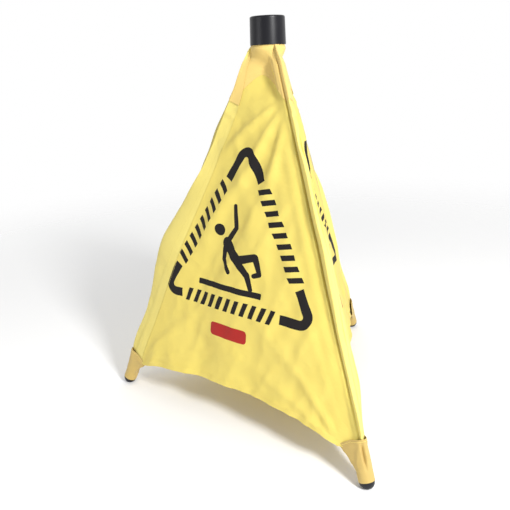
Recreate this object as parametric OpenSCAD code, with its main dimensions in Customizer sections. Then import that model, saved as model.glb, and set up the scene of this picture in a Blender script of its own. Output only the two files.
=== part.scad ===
// Collapsible three-sided floor warning cone: a sprung tripod under a fabric cover.
// Frame: origin on the floor on the tripod's axis, +Z up, the front panel faces -Y.

/* [Overall] */
// Height from the floor to the top of the cap, mm
overall_h = 762; // [640:1:900]
// Radius of the circle the three feet stand on, mm
foot_r = 345; // [280:1:400]

/* [Cap] */
// Cap diameter at its lower rim, mm
cap_d = 65; // [64:0.5:76]
// Cap diameter just under its rounded top edge, mm
cap_top_d = 63; // [60:0.5:74]
// Cap height, mm
cap_h = 48; // [46:0.5:60]
// Radius of the rounded top edge, mm
cap_edge = 3; // [1:0.5:5]
// Bore of the cap's open underside, mm
cap_bore = 59; // [58.4:0.1:60]

/* [Hub] */
// Distance from the cone axis to each hinge pin, mm
pivot_r = 14; // [13:0.5:17]
// Depth of the hinge pins below the cap top, mm
pivot_drop = 32; // [30:0.5:34]
// Thickness of the hub plate, mm
hub_plate = 4; // [3:0.5:6]
// Thickness of each hinge ear, mm
ear_t = 2.8; // [2:0.1:4]
// Gap between the two ears of one hinge, mm
ear_gap = 12.4; // [12:0.1:13]
// Hinge pin diameter, mm
pin_d = 4; // [3:0.1:5]

/* [Legs] */
// Leg tube outer diameter, mm
tube_d = 12; // [10:0.5:14]
// Leg tube wall, mm
tube_wall = 1.2; // [0.8:0.1:2]
// Distance down the leg from the pin to the tube's end, mm
tube_top = 12; // [11:0.5:16]
// Spring wire diameter, mm
wire_d = 1.2; // [0.8:0.1:1.4]
// Turns in each spring
spring_turns = 3; // [2:1:3]

/* [Feet] */
// Diameter of the rubber foot, mm
foot_d = 27; // [24:0.5:32]
// Height of the foot dome's centre above the floor, mm
foot_centre = 11.5; // [8:0.5:13]
// Length of the rubber foot above the dome's centre, mm
foot_len = 30; // [24:1:40]

/* [Fabric] */
// Thickness the fabric is drawn at, mm
cloth = 0.8; // [0.5:0.1:1.5]
// Inner width of the fabric sleeve round each leg, mm
sleeve_w = 14; // [13:0.5:20]
// How far the loose sleeve stands out beyond the leg, mm
sleeve_fin = 6.5; // [2:0.5:12]
// Length of the pocket above the foot, mm
pocket_len = 62; // [50:1:90]
// Height of the hem above the floor at mid panel, up the panel's slope, mm
hem_mid = 86; // [60:1:140]
// How much lower the hem is beside the feet, mm
hem_drop = 25; // [10:1:40]
// Height of the top reinforcement below the cap at mid panel, mm
collar_mid = 51; // [30:1:90]
// Height of the top reinforcement below the cap at the legs, mm
collar_side = 102; // [80:1:140]

/* [Hidden] */

$fn = 64;
eps = 0.01;
black = [0.09, 0.09, 0.10];
steel = [0.66, 0.67, 0.68];
alloy = [0.78, 0.79, 0.80];
rubber = [0.07, 0.07, 0.08];
yellow = [0.95, 0.86, 0.36];
ochre = [0.90, 0.74, 0.38];

// Bearings of the three legs and of the panels between them
right_leg = -30;
rear_leg = 90;
left_leg = 210;
front_panel = 0;
right_panel = 120;
left_panel = -120;

// Heights
cap_rim_z = overall_h - cap_h;
cap_roof = 4.5;
cap_roof_z = overall_h - cap_roof;
hub_top_z = overall_h - 14;
hub_low_z = hub_top_z - hub_plate;
pivot_z = overall_h - pivot_drop;
pivot_rise = hub_low_z - pivot_z;

// Leg line: from the hinge pin down to the centre of the foot's dome
tilt = atan((foot_r - pivot_r) / (pivot_z - foot_centre));
leg_len = (pivot_z - foot_centre) / cos(tilt);

// The three leg lines meet at one point, and each panel's plane holds two of them
apex_z = pivot_z + pivot_r / tan(tilt);
floor_y = apex_z * tan(tilt) / 2;
slope = atan(floor_y / apex_z);
panel_len = apex_z / cos(slope);
panel_tan = floor_y * sqrt(3) / panel_len;

// Hub and hinge details
plate_r = cap_bore / 2 - 1.2;
ear_r = 6;
ear_out = ear_gap / 2 + ear_t;
eye_r = 5.5;
eye_in = -ear_gap / 2 + 0.2;
eye_out = 1.2;
heel_in = 1;
heel_out = 5.5;
heel_gap = 0.05;
pin_r = pin_d / 2;
pin_clear = 0.05;
pin_press = 0.02;
pin_head_r = 3;
pin_head_t = 1;

// Screws that hold the hub plate up in the cap
screw_ring = 20;
screw_r = 1.45;
screw_len = 12;
screw_head_r = 2.8;
screw_head_t = 2.2;
boss_r = 4;
boss_gap = 0.05;
bearings_between = [30, 150, 270];

// Fabric clamp inside the rim
wrap_out = cap_bore / 2 - 0.1;
wrap_in = wrap_out - cloth;
clamp_out = wrap_in - 0.1;
clamp_in = clamp_out - 2.2;
clamp_low_z = cap_rim_z + 8;
clamp_h = 12;

// Knuckle, plug, rivet and tube
tube_r = tube_d / 2;
tube_in = tube_r - tube_wall;
plug_r = tube_in - 0.05;
plug_len = 24;
flange_t = 2;
flange_r = 6.4;
neck_w = 4.4;
rivet_r = 1.5;
rivet_drop = 24;
rivet_head_r = 2.6;
rivet_head_t = 0.9;
tube_low = leg_len - 6;

// Springs
wire_r = wire_d / 2;
coil_r = 3.4;
coil_start = 5.4;
coil_end = 2.0;
wire_sides = 10;
turn_steps = 24;

// Feet
foot_rad = foot_d / 2;
foot_top_r = 10.8;
foot_shoulder = 10;
socket_r = tube_r + 0.02;

// Sleeves, pockets and panels
sleeve_in = sleeve_w / 2;
sleeve_out = sleeve_in + cloth;
sleeve_top = 52;
pocket_low = 2;
pocket_in = foot_rad + 0.4;
pocket_top_in = 12.4;
sleeve_low = leg_len - pocket_low - pocket_len + 6;
panel_off = sleeve_out + 0.1;
panel_gap = 2.6;
panel_top = panel_len - 57;
corner_v = 80;
hem_u = (panel_len - corner_v) * panel_tan - 21;
hem_steps = 24;
hem_power = 2.5;

// Top reinforcement
collar_in = sleeve_out / cos(tilt) + 0.6;
collar_fin = sleeve_fin / cos(tilt);
collar_neck_z = cap_rim_z - 0.5;
neck_slice = 0.3;
neck_lap = 0.1;
collar_wide_z = cap_rim_z - 24;
collar_low_z = cap_rim_z - collar_side;
collar_arch_w = collar_half(collar_low_z) - 8;
collar_arch_rise = collar_side - collar_mid;
collar_arch_r = (pow(collar_arch_w, 2) + pow(collar_arch_rise, 2)) / (2 * collar_arch_rise);
slice = 0.5;

// Distance of a leg's centre line from the cone axis at height z
function leg_at(z) = (apex_z - z) * tan(tilt);

// Half width of a panel's plane between its two leg lines at height z
function collar_half(z) = leg_at(z) * sqrt(3) / 2;

// Half width of a panel between its two leg lines, v up the slope from the floor
function panel_half(v) = (panel_len - v) * panel_tan;

// Height of the hem at a distance u from mid panel
function hem(u) = hem_mid - hem_drop * pow(abs(u) / hem_u, hem_power);

// Points round a spring wire's section at p, facing bearing a about the coil axis
function wire_ring(p, a) = [for (j = [0 : wire_sides - 1])
    let (b = 360 * j / wire_sides)
    p + wire_r * [cos(b) * cos(a), sin(b), cos(b) * sin(a)]];

// Pin frame of one leg: X outwards, Y along the hinge pin, Z up
module at_pin(a) {
    rotate([0, 0, a]) translate([pivot_r, 0, pivot_z]) children();
}

// Leg frame: the same origin, with -Z running down the leg
module down_leg(a) {
    at_pin(a) rotate([0, -tilt, 0]) children();
}

// Panel frame: X across, Y up the slope from the floor line, Z outwards
module on_panel(a) {
    rotate([0, 0, a]) translate([0, -floor_y, 0]) rotate([90 - slope, 0, 0]) children();
}

// Solid with two round ends, from the leg line outwards to the sleeve's fin
module fin_bar(r, low, high) {
    translate([0, 0, low]) cylinder(r = r, h = high - low);
    translate([sleeve_fin, 0, low]) cylinder(r = r, h = high - low);
    translate([0, -r, low]) cube([sleeve_fin, 2 * r, high - low]);
}

module cap() {
    color(black) difference() {
        union() {
            translate([0, 0, cap_rim_z])
                cylinder(d1 = cap_d, d2 = cap_top_d, h = cap_h - cap_edge, $fn = 128);
            translate([0, 0, overall_h - 2 * cap_edge])
                cylinder(d = cap_top_d - 2 * cap_edge, h = 2 * cap_edge, $fn = 128);
            translate([0, 0, overall_h - cap_edge]) rotate_extrude($fn = 128)
                translate([cap_top_d / 2 - cap_edge, 0]) circle(r = cap_edge);
        }
        difference() {
            translate([0, 0, cap_rim_z - 1])
                cylinder(d = cap_bore, h = cap_roof_z - cap_rim_z + 1, $fn = 128);
            for (a = bearings_between) rotate([0, 0, a])
                translate([screw_ring, 0, hub_top_z + boss_gap])
                    cylinder(r = boss_r, h = cap_roof_z - hub_top_z + 1);
        }
        for (a = bearings_between) rotate([0, 0, a])
            translate([screw_ring, 0, hub_top_z - 1])
                cylinder(r = screw_r + 0.02, h = 8.5);
    }
}

module hub() {
    color(black) difference() {
        union() {
            translate([0, 0, hub_low_z]) cylinder(r = plate_r, h = hub_plate, $fn = 128);
            for (a = [right_leg, rear_leg, left_leg]) at_pin(a)
                for (side = [-1, 1])
                    translate([0, side * (ear_gap + ear_t) / 2, 0]) hinge_ear();
        }
        for (a = [right_leg, rear_leg, left_leg]) at_pin(a)
            rotate([90, 0, 0])
                cylinder(r = pin_r + pin_press, h = 2 * ear_out + 2, center = true);
        for (a = bearings_between) rotate([0, 0, a])
            translate([screw_ring, 0, hub_low_z - 1])
                cylinder(r = screw_r + 0.15, h = hub_plate + 2);
    }
}

module hinge_ear() {
    rotate([90, 0, 0]) cylinder(r = ear_r, h = ear_t, center = true);
    translate([-ear_r, -ear_t / 2, 0]) cube([2 * ear_r, ear_t, pivot_rise + 1]);
}

module cap_screws() {
    color(steel) for (a = bearings_between) rotate([0, 0, a])
        translate([screw_ring, 0, 0]) {
            translate([0, 0, hub_low_z - 1]) cylinder(r = screw_r, h = screw_len);
            difference() {
                translate([0, 0, hub_low_z - screw_head_t])
                    cylinder(r1 = screw_head_r - 0.5, r2 = screw_head_r, h = screw_head_t);
                translate([-0.35, -1.8, hub_low_z - screw_head_t - 1]) cube([0.7, 3.6, 2]);
                translate([-1.8, -0.35, hub_low_z - screw_head_t - 1]) cube([3.6, 0.7, 2]);
            }
        }
}

module clamp_ring() {
    color(black) translate([0, 0, clamp_low_z]) difference() {
        cylinder(r = clamp_out, h = clamp_h, $fn = 128);
        translate([0, 0, -1]) cylinder(r = clamp_in, h = clamp_h + 2, $fn = 128);
    }
}

// Reinforced top of the cover: a tube held in the cap, then a flared three-sided skirt
module collar() {
    color(ochre) {
        difference() {
            translate([0, 0, collar_neck_z])
                cylinder(r = wrap_out, h = clamp_low_z + clamp_h - collar_neck_z, $fn = 128);
            translate([0, 0, collar_neck_z - 1])
                cylinder(r = wrap_in, h = clamp_h + 20, $fn = 128);
        }
        difference() {
            collar_skirt(collar_in + cloth, wrap_out + neck_lap, 0);
            collar_skirt(collar_in, wrap_in - neck_lap, 1);
            for (a = [front_panel, right_panel, left_panel]) rotate([0, 0, a])
                translate([0, 0, collar_low_z + collar_arch_rise - collar_arch_r])
                    rotate([90, 0, 0]) cylinder(r = collar_arch_r, h = 120);
        }
    }
}

// Convex hull of the neck circle and of two three-cornered slices round the sleeves
module collar_skirt(r, neck, over) {
    hull() {
        translate([0, 0, collar_neck_z]) cylinder(r = neck, h = neck_slice + over);
        collar_corners(r, collar_wide_z);
        collar_corners(r, collar_low_z - over);
    }
}

module collar_corners(r, z) {
    for (a = [right_leg, rear_leg, left_leg]) rotate([0, 0, a])
        translate([leg_at(z) + collar_fin, 0, z]) cylinder(r = r, h = slice, $fn = 40);
}

module panel(a) {
    color(yellow) on_panel(a) translate([0, 0, panel_off]) linear_extrude(height = cloth)
        polygon(concat(
            [for (i = [0 : hem_steps]) let (u = hem_u * (2 * i / hem_steps - 1)) [u, hem(u)]],
            [[panel_half(corner_v) - panel_gap, corner_v],
             [panel_half(panel_top) - panel_gap, panel_top],
             [panel_gap - panel_half(panel_top), panel_top],
             [panel_gap - panel_half(corner_v), corner_v]]));
}

module leg_pin(a) {
    color(steel) at_pin(a) rotate([90, 0, 0]) {
        translate([0, 0, -ear_out]) cylinder(r = pin_r, h = 2 * ear_out);
        translate([0, 0, ear_out]) cylinder(r1 = pin_head_r, r2 = pin_head_r - 0.5, h = pin_head_t);
        translate([0, 0, -ear_out - 0.6]) cylinder(r1 = pin_r, r2 = pin_r + 0.4, h = 0.6);
    }
}

// Torsion spring: a straight end up to the hub plate, the coil, and an end down the leg
module leg_spring(a) {
    sweep = 360 * spring_turns + tilt;
    count = spring_turns * turn_steps;
    reach = tube_top - 0.5;
    low = [-coil_r * cos(tilt) + reach * sin(tilt), coil_end,
           -coil_r * sin(tilt) - reach * cos(tilt)];
    rings = concat(
        [wire_ring([-coil_r, coil_start, pivot_rise - 0.1], 180)],
        [for (i = [0 : count])
            let (b = 180 + sweep * i / count)
            let (y = coil_start + (coil_end - coil_start) * i / count)
            wire_ring([coil_r * cos(b), y, coil_r * sin(b)], b)],
        [wire_ring(low, 180 + sweep)]);
    last = count + 2;
    m = wire_sides;
    color(steel) at_pin(a) polyhedron(
        points = [for (ring = rings) each ring],
        faces = concat(
            [[for (j = [0 : m - 1]) m - 1 - j]],
            [for (i = [0 : last - 1]) for (j = [0 : m - 1])
                [i * m + j, i * m + (j + 1) % m, (i + 1) * m + (j + 1) % m, (i + 1) * m + j]],
            [[for (j = [0 : m - 1]) last * m + j]]));
}

// Hinge eye with a heel that meets the hub plate when the leg is open, and a plug
module knuckle(a) {
    color(black) difference() {
        union() {
            at_pin(a) translate([0, eye_out, 0]) rotate([90, 0, 0])
                cylinder(r = eye_r, h = eye_out - eye_in);
            at_pin(a) translate([heel_in, eye_in, 0])
                cube([heel_out - heel_in, eye_out - eye_in, pivot_rise - heel_gap]);
            down_leg(a) {
                translate([-neck_w, eye_in, -tube_top + flange_t / 2])
                    cube([2 * neck_w, eye_out - eye_in, tube_top - flange_t / 2]);
                translate([0, 0, -tube_top]) cylinder(r = flange_r, h = flange_t);
                translate([0, 0, -tube_top - plug_len]) cylinder(r = plug_r, h = plug_len + 1);
            }
        }
        at_pin(a) rotate([90, 0, 0]) cylinder(r = pin_r + pin_clear, h = 40, center = true);
        down_leg(a) {
            translate([-coil_r, coil_end, -tube_top - 0.2])
                cylinder(r = wire_r + 0.15, h = flange_t + 1);
            translate([0, 0, -rivet_drop]) rotate([90, 0, 0])
                cylinder(r = rivet_r + 0.02, h = 30, center = true);
        }
    }
}

module rivet(a) {
    color(steel) down_leg(a) translate([0, 0, -rivet_drop]) rotate([90, 0, 0]) {
        cylinder(r = rivet_r, h = 2 * tube_r + 0.4, center = true);
        for (side = [0, 1]) rotate([180 * side, 0, 0]) translate([0, 0, tube_r + 0.02])
            cylinder(r1 = rivet_head_r, r2 = rivet_head_r - 0.8, h = rivet_head_t);
    }
}

module leg_tube(a) {
    color(alloy) down_leg(a) difference() {
        translate([0, 0, -tube_low]) cylinder(r = tube_r, h = tube_low - tube_top - 0.05);
        translate([0, 0, -tube_low - 1]) cylinder(r = tube_in, h = tube_low + 2);
        translate([0, 0, -rivet_drop]) rotate([90, 0, 0])
            cylinder(r = rivet_r + 0.02, h = 30, center = true);
    }
}

// Rubber foot: a dome trimmed flat by the floor, with a socket for the tube
module foot_tip(a) {
    color(rubber) difference() {
        down_leg(a) difference() {
            translate([0, 0, -leg_len]) union() {
                sphere(r = foot_rad, $fn = 96);
                cylinder(r = foot_rad, h = foot_shoulder, $fn = 96);
                translate([0, 0, foot_shoulder - eps])
                    cylinder(r1 = foot_rad, r2 = foot_top_r, h = foot_len - foot_shoulder, $fn = 96);
            }
            translate([0, 0, -tube_low - 0.05]) cylinder(r = socket_r, h = foot_len);
        }
        rotate([0, 0, a]) translate([foot_r - 30, -30, -40]) cube([60, 60, 40]);
    }
}

module sleeve(a) {
    color(yellow) down_leg(a) difference() {
        fin_bar(sleeve_out, -sleeve_low, -sleeve_top);
        fin_bar(sleeve_in, -sleeve_low - 1, -sleeve_top + 1);
    }
}

// Reinforced end of the cover: tapers from the sleeve down to the rubber foot
module foot_pocket(a) {
    color(ochre) down_leg(a) difference() {
        pocket_body(cloth, 0);
        pocket_body(0, 1);
    }
}

module pocket_body(wall, over) {
    hull() {
        translate([0, 0, -leg_len + pocket_low - over])
            cylinder(r = pocket_in + wall, h = slice, $fn = 48);
        translate([0, 0, -leg_len + pocket_low + pocket_len - slice + over]) {
            cylinder(r = pocket_top_in + wall, h = slice, $fn = 48);
            translate([sleeve_fin, 0, 0])
                cylinder(r = sleeve_out + 0.6 + wall, h = slice, $fn = 48);
        }
    }
}

cap();
hub();
cap_screws();
clamp_ring();
collar();
panel(front_panel);  // panel_front
panel(right_panel);  // panel_right
panel(left_panel);  // panel_left
leg_pin(right_leg);  // leg_pin_front_right
leg_spring(right_leg);  // spring_front_right
knuckle(right_leg);  // knuckle_front_right
rivet(right_leg);  // rivet_front_right
leg_tube(right_leg);  // leg_tube_front_right
foot_tip(right_leg);  // foot_tip_front_right
sleeve(right_leg);  // sleeve_front_right
foot_pocket(right_leg);  // foot_pocket_front_right
leg_pin(rear_leg);  // leg_pin_rear
leg_spring(rear_leg);  // spring_rear
knuckle(rear_leg);  // knuckle_rear
rivet(rear_leg);  // rivet_rear
leg_tube(rear_leg);  // leg_tube_rear
foot_tip(rear_leg);  // foot_tip_rear
sleeve(rear_leg);  // sleeve_rear
foot_pocket(rear_leg);  // foot_pocket_rear
leg_pin(left_leg);  // leg_pin_front_left
leg_spring(left_leg);  // spring_front_left
knuckle(left_leg);  // knuckle_front_left
rivet(left_leg);  // rivet_front_left
leg_tube(left_leg);  // leg_tube_front_left
foot_tip(left_leg);  // foot_tip_front_left
sleeve(left_leg);  // sleeve_front_left
foot_pocket(left_leg);  // foot_pocket_front_left
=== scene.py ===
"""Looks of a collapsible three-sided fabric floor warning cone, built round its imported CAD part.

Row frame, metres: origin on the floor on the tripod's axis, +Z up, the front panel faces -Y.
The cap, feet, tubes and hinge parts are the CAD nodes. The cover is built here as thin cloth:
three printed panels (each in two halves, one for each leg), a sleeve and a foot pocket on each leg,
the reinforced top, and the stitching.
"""

import math
from collections import namedtuple

import bpy
import numpy as np
from mathutils import Matrix, Vector, noise
from mathutils.geometry import delaunay_2d_cdt


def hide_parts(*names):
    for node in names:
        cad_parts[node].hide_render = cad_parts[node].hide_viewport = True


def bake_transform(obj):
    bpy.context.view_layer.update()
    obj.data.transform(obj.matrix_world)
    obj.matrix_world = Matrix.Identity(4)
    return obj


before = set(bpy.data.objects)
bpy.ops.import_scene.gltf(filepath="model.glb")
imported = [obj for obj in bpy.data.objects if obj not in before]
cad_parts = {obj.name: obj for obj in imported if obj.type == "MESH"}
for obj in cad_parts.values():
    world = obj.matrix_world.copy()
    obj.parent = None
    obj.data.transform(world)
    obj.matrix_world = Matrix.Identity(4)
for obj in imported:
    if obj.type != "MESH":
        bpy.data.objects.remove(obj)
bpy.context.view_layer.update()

# ---------------------------------------------------------------- the tripod's geometry

PIVOT_R, PIVOT_Z = 0.014, 0.730  # hinge pins: distance from the axis, and height
FOOT_R, FOOT_C = 0.345, 0.0115  # centres of the round feet
TILT = math.atan((FOOT_R - PIVOT_R) / (PIVOT_Z - FOOT_C))  # of a leg from upright
LEG = math.hypot(FOOT_R - PIVOT_R, PIVOT_Z - FOOT_C)
APEX = PIVOT_Z + PIVOT_R / math.tan(TILT)  # height at which the legs' lines meet
FLOOR_Y = APEX * math.tan(TILT) / 2  # distance from the axis to a side's foot line, on the floor
SLOPE = math.atan(FLOOR_Y / APEX)  # of a side from upright
LEN = APEX / math.cos(SLOPE)
SPREAD = FLOOR_Y * math.sqrt(3) / LEN
HALF_ANGLE = math.atan(SPREAD)

LEGS = {"front_right": -30, "rear": 90, "front_left": 210}

# a side of the cone: its bearing, the legs on its +u and -u sides, the seed of its folds, how far its
# middle stands out, how far it swells beside its -u leg, and how far its print lies off its middle
Panel = namedtuple("Panel", "bearing plus_leg minus_leg seed stand swell print_shift")
PANELS = {
    "front": Panel(0, "front_right", "front_left", 3, 0.009, 0.0, -0.006),
    "right": Panel(120, "rear", "front_right", 11, -0.019, 0.013, 0.012),
    "left": Panel(-120, "front_left", "rear", 29, 0.003, 0.003, 0.0),
}

CLOTH = 0.0005  # thickness of one layer as drawn
HEM_MID, HEM_DROP, HEM_U = 0.086, 0.025, 0.243  # height up the slope, drop at its ends, half width
HEM_DEPTH = 0.011  # of the turned-up edge
TOP_V = 0.722 / math.cos(SLOPE)  # the cloth's top edge, inside the cap
WRAP = 0.012  # cloth past the leg line, round the tube to the crease


def half(v):
    """Half width of a panel between its two leg lines, v up the slope from the floor."""
    return (LEN - v) * SPREAD


def hem(u):
    """The arched hem's edge: v at each u."""
    u = np.abs(u)
    return HEM_MID - HEM_DROP * (u / HEM_U) ** 2.2 - 0.10 * np.maximum(u - 0.21, 0)


def arch(u):
    """Lower edge of the reinforced top on a panel."""
    return 0.681 - 0.050 * (np.abs(u) / 0.060) ** 1.6


def wrap(v):
    """Width of cloth past the leg line on the panel's +u side, none at the cap."""
    return WRAP * np.clip((TOP_V - v) / 0.06, 0, 1)


def smooth(a, b, x):
    """Smooth step from 0 at a to 1 at b."""
    t = np.clip((np.asarray(x, float) - a) / (b - a), 0, 1)
    return t * t * (3 - 2 * t)


def bump(x, centre, width):
    """Bell curve of height 1."""
    return np.exp(-(((x - centre) / width) ** 2))


def field(x, y, size, seed):
    """Smooth noise from -1 to 1 over flat positions, with features about size metres across."""
    x, y = np.broadcast_arrays(np.asarray(x, float), np.asarray(y, float))
    values = [
        noise.noise(Vector((a / size, b / size, seed * 7.31)))
        for a, b in zip(x.ravel(), y.ravel())
    ]
    return np.array(values).reshape(x.shape)


# ---------------------------------------------------------------- leg frames and the crease along a leg

# bearing, in a section across a leg, from straight out to the normal of either panel beside it
BETA = math.acos(math.sin(TILT) * math.sin(SLOPE) + math.cos(TILT) * math.cos(SLOPE) / 2)
BESIDE = np.array([math.sin(BETA), math.cos(BETA)])  # away from a panel, past the leg
FACING = np.array([math.cos(BETA), -math.sin(BETA)])  # out of that panel
SWAP = np.array([1, -1])


def leg_frame(bearing):
    """(hinge point, down the leg, out from it, along the hinge pin)."""
    a = math.radians(bearing)
    out, along = np.array([math.cos(a), math.sin(a), 0]), np.array([-math.sin(a), math.cos(a), 0])
    up = np.array([0, 0, 1.0])
    return (
        out * PIVOT_R + up * PIVOT_Z,
        out * math.sin(TILT) - up * math.cos(TILT),
        out * math.cos(TILT) + up * math.sin(TILT),
        along,
    )


# along a leg: the crease's bearing in degrees at the top and lower down; the slack in the sleeve, with
# its height and reach; the puff of the cloth that wraps the leg on the crease's other side, with its
# height and reach
Crease = namedtuple("Crease", "top low slack slack_z slack_reach puff puff_z puff_reach")
CREASES = {
    "front_right": Crease(-10, -10, 0.026, 0.40, 0.25, 0.0044, 0.36, 0.24),
    "front_left": Crease(44, -12, 0.044, 0.315, 0.120, 0.0085, 0.53, 0.10),
    "rear": Crease(24, -8, 0.026, 0.34, 0.16, 0.0050, 0.50, 0.12),
}
CREASE_R = 0.0067  # distance from the leg's axis


def crease(leg, z):
    """(bearing, distance from the leg's axis, slack in the sleeve beside it, puff of the wrap)."""
    c = CREASES[leg]
    seed = LEGS[leg]
    free = smooth(0.7135, 0.698, z)
    low = smooth(0.055, 0.085, z)
    bearing = c.low + (c.top - c.low) * smooth(0.41, 0.49, z) + 6 * field(z, 0 * z, 0.07, seed) * free
    away = CREASE_R + free * 0.0004 * (1 + field(z, 0 * z + 1, 0.05, seed))
    away = away + 0.0060 * bump(z, 0.105, 0.045) * low
    slack = 0.0050 + c.slack * bump(z, c.slack_z, c.slack_reach)
    slack = slack + 0.0030 * field(z, 0 * z + 2, 0.09, seed)
    slack = (slack + 0.008 * bump(z, 0.110, 0.045)) * low
    ripple = 1 + 0.3 * field(z, 0 * z + 4, 0.05, seed)
    puff = 0.0004 + c.puff * bump(z, c.puff_z, c.puff_reach) * ripple
    return np.radians(bearing), away, np.maximum(slack, 0) * free, puff * free


def lap(leg, z):
    """How far the cloth under the sleeve's lapped edge stands off its panel's plane."""
    return 0.0082 + 0.26 * crease(leg, z)[2]


# ---------------------------------------------------------------- panel surface


def fan(u, v, at, toward, spread, count, reach, seed):
    """Tension folds that radiate from a point: sharp-edged ridges in the bearing round it."""
    du, dv = u - at[0], v - at[1]
    r = np.hypot(du, dv)
    away = np.arctan2(dv, du) - math.radians(toward)
    away = np.degrees((away + math.pi) % (2 * math.pi) - math.pi)
    turn = 2 * math.pi * count * (away + 6.0 * field(u, v, 0.15, seed)) / (2 * spread)
    ridges = np.cos(turn + 0.75 * np.sin(turn))
    ridges = ridges * (0.65 + 0.5 * field(away / 40.0, r, 0.4, seed + 1))
    side = np.clip(1 - (away / spread) ** 2, 0, 1) ** 0.8
    along = (r / (r + 0.04)) * np.exp(-((r / reach) ** 2))
    return ridges * side * along


def creased(x, y, size, seed):
    """Crumple noise with sharp ridges, as in thin nylon."""
    return 1 - 2 * np.abs(field(x, y, size, seed)) ** 0.8


def fold_field(u, v, side):
    """How far the cloth stands out of its plane: bulge, tension folds, flutes and crumples."""
    seed = side.seed
    wide = half(v)
    s = np.clip(u / wide, -1, 1)
    free = smooth(0.004, 0.045, wide - u) * smooth(0.019, 0.060, u + wide)
    low = smooth(0.72, 0.62, v)
    n = side.stand * (1 - s**2) * smooth(0.66, 0.36, v) * (0.6 + 0.4 * smooth(0.05, 0.30, v))
    n += side.swell * bump(u + wide, 0.040, 0.030) * smooth(0.48, 0.36, v) * smooth(0.06, 0.16, v)
    top = low * smooth(0.002, 0.026, wide - u) * smooth(0.010, 0.045, u + wide)
    n += top * 0.0074 * fan(u, v, (0.072, 0.650), 240, 46, 4, 0.36, seed)
    n += top * 0.0018 * fan(u, v, (-0.060, 0.640), 290, 34, 3, 0.30, seed + 2)
    n += free * 0.0040 * fan(u, v, (0.262, 0.050), 136, 40, 4, 0.30, seed + 4)
    n += free * 0.0046 * fan(u, v, (-0.262, 0.050), 46, 40, 4, 0.33, seed + 6)
    # slack folds that run down the panel from upper right to lower left
    lean = u * math.cos(math.radians(26)) - (v - 0.4) * math.sin(math.radians(26))
    run = u * math.sin(math.radians(26)) + (v - 0.4) * math.cos(math.radians(26))
    n += free * low * 0.0060 * creased(lean, run * 0.18, 0.080, seed + 8)
    n += free * low * 0.0022 * creased(lean, run * 0.34, 0.034, seed + 9)
    n += free * 0.0060 * field(u, v, 0.150, seed + 10)
    n += free * 0.0012 * creased(u, v, 0.032, seed + 11)
    # flutes that run up from the hem
    up = np.exp(-(v - hem(u)) / 0.090)
    n += up * free * 0.0085 * field(u, v * 0.25, 0.060, seed + 12)
    return n


def frame_of(bearing):
    """(turn from the front side, middle of the foot line, across, up the slope, out of the side)."""
    a = math.radians(bearing)
    turn = np.array([[math.cos(a), -math.sin(a), 0], [math.sin(a), math.cos(a), 0], [0, 0, 1]])
    out = turn @ np.array([0, -math.cos(SLOPE), math.sin(SLOPE)])
    up = turn @ np.array([0, math.sin(SLOPE), math.cos(SLOPE)])
    return turn, turn @ np.array([0, -FLOOR_Y, 0]), turn @ np.array([1.0, 0, 0]), up, out


FACE = 0.0080  # how far the cloth lies off the plane of the legs' axes
NECK_R = 0.0312  # the cloth's top, gathered inside the cap
NECK_TURN = math.radians(57)  # half the angle that one side takes up there


def round_leg(u, v, n, side, plane):
    """Points of the cloth past the +u leg line, wrapped round the leg's tube as far as the crease."""
    hinge, down, out, along = leg_frame(LEGS[side.plus_leg])
    at, away, _, puff = crease(side.plus_leg, plane[:, 2])
    t = np.clip(np.clip(u - half(v), 0, None) / np.maximum(wrap(v), 1e-6), 0, 1)
    angle = -BETA + (at + BETA) * t
    reach = n * (1 - t) + (away - 0.0002) * t + puff * np.sin(math.pi * t) ** 1.5
    return (
        hinge + ((plane - hinge) @ down)[:, None] * down
        + (reach * np.cos(angle))[:, None] * out + (reach * np.sin(angle))[:, None] * along
    )


def panel_points(u, v, panel, lift=0.0):
    """Points of a panel's outer face in the row frame, lift metres above it."""
    side = PANELS[panel]
    turn, origin, across, up, out = frame_of(side.bearing)
    wide = half(v)
    s = np.clip(u / wide, -1, 1)
    plane = origin + u[:, None] * across + v[:, None] * up
    z = plane[:, 2]
    n = FACE + fold_field(u, v, side)
    n = n + (lap(side.minus_leg, z) - FACE) * bump(u + wide, 0, 0.055)
    # the hollow beside the +u leg under the cap, the ridge beside it lower down, and the hem's fold
    dip = smooth(0.002, 0.016, wide - u) * smooth(-1.0, 0.3, s)
    n = n - 0.0130 * dip * bump(z, 0.662, 0.044)
    n = n + 0.0030 * bump(wide - u, 0.016, 0.010) * smooth(0.62, 0.52, z) * smooth(0.08, 0.2, z)
    n = n + 0.0007 * smooth(HEM_DEPTH + 0.0005, HEM_DEPTH - 0.0005, v - hem(u))
    flat = plane + n[:, None] * out
    flat = np.where((u > wide)[:, None], round_leg(u, v, n, side, plane), flat)
    # the top is gathered to a ring
    ring = NECK_R - 0.0024 * smooth(0.706, 0.716, z)
    neck = np.stack([ring * np.sin(s * NECK_TURN), -ring * np.cos(s * NECK_TURN), v * math.cos(SLOPE)], 1)
    t = smooth(0.676, 0.710, z)[:, None]
    points = flat * (1 - t) + (neck @ turn.T) * t
    if np.any(lift):
        points = points + lift * panel_normals(u, v, panel)
    return points


def panel_normals(u, v, panel):
    """Unit normals out of a panel's outer face."""
    e = 0.0008
    du = panel_points(u + e, v, panel) - panel_points(u - e, v, panel)
    dv = panel_points(u, v + e, panel) - panel_points(u, v - e, panel)
    n = np.cross(du, dv)
    return n / np.linalg.norm(n, axis=1)[:, None]


def hang(z):
    """How fully cloth at height z follows its leg: not at all at the cap, fully below it."""
    return smooth(0.718, 0.690, z)


PLEATS = 3  # from the middle of a panel to a leg, when folded


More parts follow.
